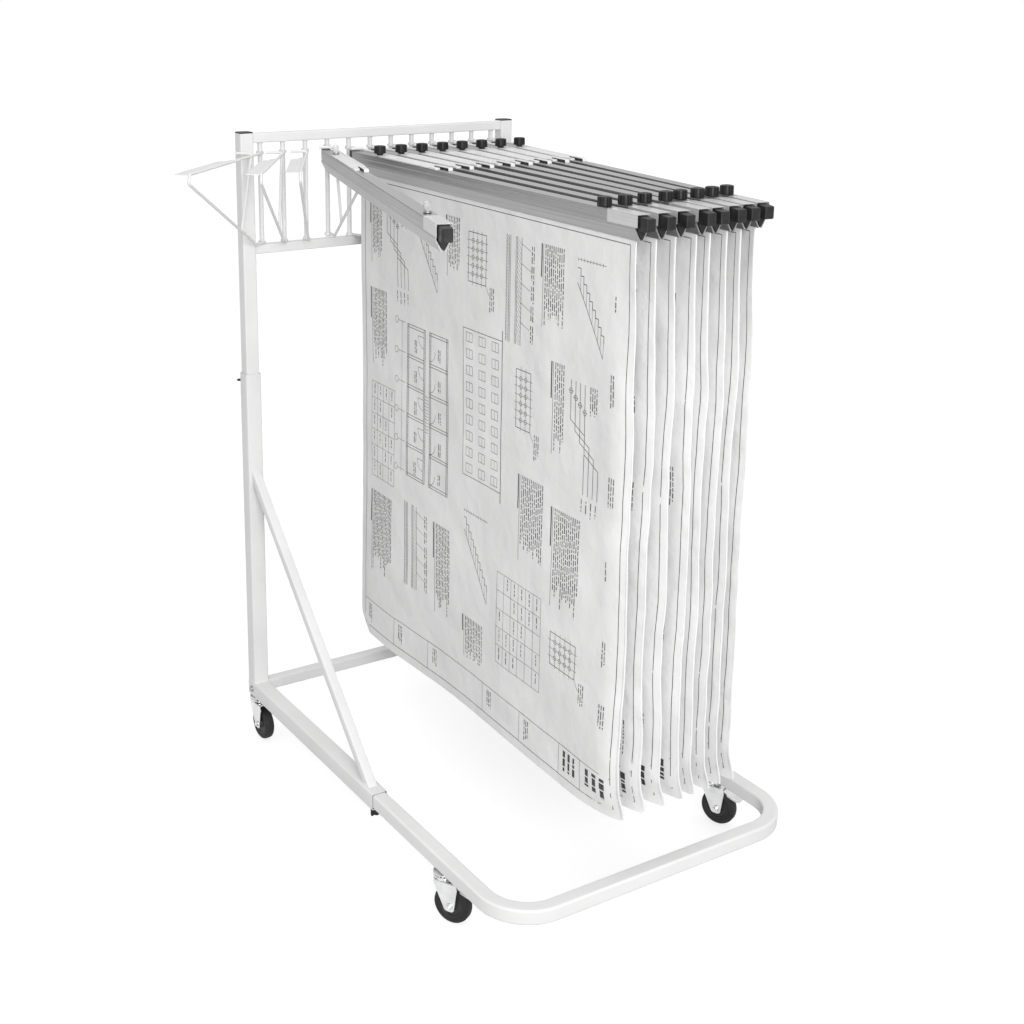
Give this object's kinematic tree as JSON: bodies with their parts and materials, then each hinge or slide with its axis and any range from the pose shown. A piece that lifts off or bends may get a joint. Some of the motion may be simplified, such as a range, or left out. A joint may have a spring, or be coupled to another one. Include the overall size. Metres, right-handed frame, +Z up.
{
  "type": "plan hanging rack",
  "caption": "Wheeled tube rack with telescoping posts and base, whose pivoting wire hangers carry clamp bars that hold sets of large hanging drawings.",
  "frame": {"origin": "middle of the underside of the bounding box, on the floor", "axes": "+Z up, -Y to the front where the clamps point, +X to the right seen from the front"},
  "size_m": [0.9536, 1.117, 1.391],
  "materials": {
    "white_powder_coat": "satin powder coat",
    "black_plastic": "fine matt",
    "zinc_plate": "bright zinc plate",
    "wheel_rubber": "matt",
    "clamp_aluminium": "satin extruded",
    "drawing_paper": "uncoated"
  },
  "bodies": {
    "base": {"base_tube_left": "white_powder_coat", "base_tube_right": "white_powder_coat", "lower_post_left": "white_powder_coat", "lower_post_right": "white_powder_coat", "brace_left": "white_powder_coat", "brace_right": "white_powder_coat", "rear_cross_rail": "white_powder_coat"},
    "head": {"upper_post_left": "white_powder_coat", "upper_post_right": "white_powder_coat", "post_cap_left": "black_plastic", "post_cap_right": "black_plastic", "top_rail": "white_powder_coat", "spindle_grid": "white_powder_coat"},
    "front_base": {"front_base_tube": "white_powder_coat"},
    "caster_front_left": {"caster_fork_front_left": "zinc_plate"},
    "wheel_front_left": {"caster_wheel_front_left": "wheel_rubber"},
    "pedal_front_left": {"brake_pedal_front_left": "zinc_plate"},
    "caster_front_right": {"caster_fork_front_right": "zinc_plate"},
    "wheel_front_right": {"caster_wheel_front_right": "wheel_rubber"},
    "pedal_front_right": {"brake_pedal_front_right": "zinc_plate"},
    "caster_rear_left": {"caster_fork_rear_left": "zinc_plate"},
    "wheel_rear_left": {"caster_wheel_rear_left": "wheel_rubber"},
    "caster_rear_right": {"caster_fork_rear_right": "zinc_plate"},
    "wheel_rear_right": {"caster_wheel_rear_right": "wheel_rubber"},
    "height_screw_left": {"height_screw_left": "black_plastic"},
    "depth_screw_left": {"depth_screw_left": "black_plastic"},
    "height_screw_right": {"height_screw_right": "black_plastic"},
    "depth_screw_right": {"depth_screw_right": "black_plastic"},
    "hanger_01": {"hanger_01": "white_powder_coat"},
    "hanger_02": {"hanger_02": "white_powder_coat"},
    "hanger_03": {"hanger_03": "white_powder_coat"},
    "hanger_04": {"hanger_04": "white_powder_coat", "clamp_04_fixed_jaw": "clamp_aluminium"},
    "hanger_05": {"hanger_05": "white_powder_coat", "clamp_05": "clamp_aluminium", "plan_set_05": "drawing_paper"},
    "hanger_06": {"hanger_06": "white_powder_coat", "clamp_06": "clamp_aluminium", "plan_set_06": "drawing_paper"},
    "hanger_07": {"hanger_07": "white_powder_coat", "clamp_07": "clamp_aluminium", "plan_set_07": "drawing_paper"},
    "hanger_08": {"hanger_08": "white_powder_coat", "clamp_08": "clamp_aluminium", "plan_set_08": "drawing_paper"},
    "hanger_09": {"hanger_09": "white_powder_coat", "clamp_09": "clamp_aluminium", "plan_set_09": "drawing_paper"},
    "hanger_10": {"hanger_10": "white_powder_coat", "clamp_10": "clamp_aluminium", "plan_set_10": "drawing_paper"},
    "hanger_11": {"hanger_11": "white_powder_coat", "clamp_11": "clamp_aluminium", "plan_set_11": "drawing_paper"},
    "hanger_12": {"hanger_12": "white_powder_coat", "clamp_12": "clamp_aluminium", "plan_set_12": "drawing_paper"},
    "clamp_moving_jaw": {"clamp_04_moving_jaw": "clamp_aluminium"},
    "clamp_screw_rear": {"clamp_04_screw_rear": "zinc_plate"},
    "clamp_screw_front": {"clamp_04_screw_front": "zinc_plate"}
  },
  "joints": [
    {"name": "height_slide", "type": "slide", "parent": "base", "child": "head", "axis": [0, 0, 1], "range_m": [-0.1, 0.15]},
    {"name": "depth_slide", "type": "slide", "parent": "base", "child": "front_base", "axis": [0, -1, 0], "range_m": [-0.17, 0.12]},
    {"name": "swivel_front_left", "type": "hinge", "parent": "front_base", "child": "caster_front_left", "pos_m": [-0.21875, -0.2908, 0.095], "axis": [0, 0, 1], "continuous": true},
    {"name": "spin_front_left", "type": "hinge", "parent": "caster_front_left", "child": "wheel_front_left", "pos_m": [-0.20936, -0.30846, 0.0375], "axis": [0.8829, 0.4695, 0], "continuous": true},
    {"name": "pedal_press_front_left", "type": "hinge", "parent": "caster_front_left", "child": "pedal_front_left", "pos_m": [-0.20608, -0.31464, 0.079], "axis": [0.8829, 0.4695, 0], "range_deg": [0, 12]},
    {"name": "swivel_front_right", "type": "hinge", "parent": "front_base", "child": "caster_front_right", "pos_m": [0.43525, -0.2908, 0.095], "axis": [0, 0, 1], "continuous": true},
    {"name": "spin_front_right", "type": "hinge", "parent": "caster_front_right", "child": "wheel_front_right", "pos_m": [0.44274, -0.30935, 0.0375], "axis": [0.9272, 0.3746, 0], "continuous": true},
    {"name": "pedal_press_front_right", "type": "hinge", "parent": "caster_front_right", "child": "pedal_front_right", "pos_m": [0.44536, -0.31584, 0.079], "axis": [0.9272, 0.3746, 0], "range_deg": [0, 12]},
    {"name": "swivel_rear_left", "type": "hinge", "parent": "base", "child": "caster_rear_left", "pos_m": [-0.21875, 0.5292, 0.095], "axis": [0, 0, 1], "continuous": true},
    {"name": "spin_rear_left", "type": "hinge", "parent": "caster_rear_left", "child": "wheel_rear_left", "pos_m": [-0.21805, 0.50921, 0.0375], "axis": [0.9994, 0.0349, 0], "continuous": true},
    {"name": "swivel_rear_right", "type": "hinge", "parent": "base", "child": "caster_rear_right", "pos_m": [0.43525, 0.5292, 0.095], "axis": [0, 0, 1], "continuous": true},
    {"name": "spin_rear_right", "type": "hinge", "parent": "caster_rear_right", "child": "wheel_rear_right", "pos_m": [0.42841, 0.5104, 0.0375], "axis": [0.9397, -0.342, 0], "continuous": true},
    {"name": "height_screw_turn_left", "type": "hinge", "parent": "base", "child": "height_screw_left", "pos_m": [-0.21875, 0.5512, 0.848], "axis": [0, 1, 0], "range_deg": [0, 540]},
    {"name": "depth_screw_turn_left", "type": "hinge", "parent": "base", "child": "depth_screw_left", "pos_m": [-0.21875, -0.0308, 0.095], "axis": [0, 0, -1], "range_deg": [0, 540]},
    {"name": "height_screw_turn_right", "type": "hinge", "parent": "base", "child": "height_screw_right", "pos_m": [0.43525, 0.5512, 0.848], "axis": [0, 1, 0], "range_deg": [0, 540]},
    {"name": "depth_screw_turn_right", "type": "hinge", "parent": "base", "child": "depth_screw_right", "pos_m": [0.43525, -0.0308, 0.095], "axis": [0, 0, -1], "range_deg": [0, 540]},
    {"name": "hanger_swing_01", "type": "hinge", "parent": "head", "child": "hanger_01", "pos_m": [-0.18325, 0.5292, 1.25], "axis": [0, 0, -1], "range_deg": [-6.5, 10.5]},
    {"name": "hanger_swing_02", "type": "hinge", "parent": "head", "child": "hanger_02", "pos_m": [-0.13025, 0.5292, 1.25], "axis": [0, 0, -1], "range_deg": [-1.7, 5.9]},
    {"name": "hanger_swing_03", "type": "hinge", "parent": "head", "child": "hanger_03", "pos_m": [-0.07725, 0.5292, 1.25], "axis": [0, 0, -1], "range_deg": [-5.5, 1.7]},
    {"name": "hanger_swing_04", "type": "hinge", "parent": "head", "child": "hanger_04", "pos_m": [-0.02425, 0.5292, 1.25], "axis": [0, 0, -1], "range_deg": [-3.5, 5.2]},
    {"name": "hanger_swing_05", "type": "hinge", "parent": "head", "child": "hanger_05", "pos_m": [0.02875, 0.5292, 1.25], "axis": [0, 0, -1], "range_deg": [-9, 10]},
    {"name": "hanger_swing_06", "type": "hinge", "parent": "head", "child": "hanger_06", "pos_m": [0.08175, 0.5292, 1.25], "axis": [0, 0, -1], "range_deg": [-9, 10]},
    {"name": "hanger_swing_07", "type": "hinge", "parent": "head", "child": "hanger_07", "pos_m": [0.13475, 0.5292, 1.25], "axis": [0, 0, -1], "range_deg": [-9, 10]},
    {"name": "hanger_swing_08", "type": "hinge", "parent": "head", "child": "hanger_08", "pos_m": [0.18775, 0.5292, 1.25], "axis": [0, 0, -1], "range_deg": [-9, 10]},
    {"name": "hanger_swing_09", "type": "hinge", "parent": "head", "child": "hanger_09", "pos_m": [0.24075, 0.5292, 1.25], "axis": [0, 0, -1], "range_deg": [-9, 10]},
    {"name": "hanger_swing_10", "type": "hinge", "parent": "head", "child": "hanger_10", "pos_m": [0.29375, 0.5292, 1.25], "axis": [0, 0, -1], "range_deg": [-9, 10]},
    {"name": "hanger_swing_11", "type": "hinge", "parent": "head", "child": "hanger_11", "pos_m": [0.34675, 0.5292, 1.25], "axis": [0, 0, -1], "range_deg": [-9, 10]},
    {"name": "hanger_swing_12", "type": "hinge", "parent": "head", "child": "hanger_12", "pos_m": [0.39975, 0.5292, 1.25], "axis": [0, 0, -1], "range_deg": [-9, 10]},
    {"name": "clamp_jaw_close", "type": "slide", "parent": "hanger_04", "child": "clamp_moving_jaw", "axis": [0.956, -0.2934, 0], "range_m": [0, 0.0029]},
    {"name": "clamp_screw_turn_rear", "type": "hinge", "parent": "hanger_04", "child": "clamp_screw_rear", "pos_m": [-0.08406, 0.37182, 1.35], "axis": [0, 0, -1], "range_deg": [0, 360]},
    {"name": "clamp_screw_turn_front", "type": "hinge", "parent": "hanger_04", "child": "clamp_screw_front", "pos_m": [-0.3167, -0.38629, 1.35], "axis": [0, 0, -1], "range_deg": [0, 360]}
  ],
  "couplings": [
    {"joint": "hanger_swing_06", "follows": "hanger_swing_05", "ratio": 1},
    {"joint": "hanger_swing_07", "follows": "hanger_swing_05", "ratio": 1},
    {"joint": "hanger_swing_08", "follows": "hanger_swing_05", "ratio": 1},
    {"joint": "hanger_swing_09", "follows": "hanger_swing_05", "ratio": 1},
    {"joint": "hanger_swing_10", "follows": "hanger_swing_05", "ratio": 1},
    {"joint": "hanger_swing_11", "follows": "hanger_swing_05", "ratio": 1},
    {"joint": "hanger_swing_12", "follows": "hanger_swing_05", "ratio": 1},
    {"joint": "clamp_screw_turn_rear", "follows": "clamp_jaw_close", "rad_per_m": 2166.6},
    {"joint": "clamp_screw_turn_front", "follows": "clamp_jaw_close", "rad_per_m": 2166.6}
  ]
}
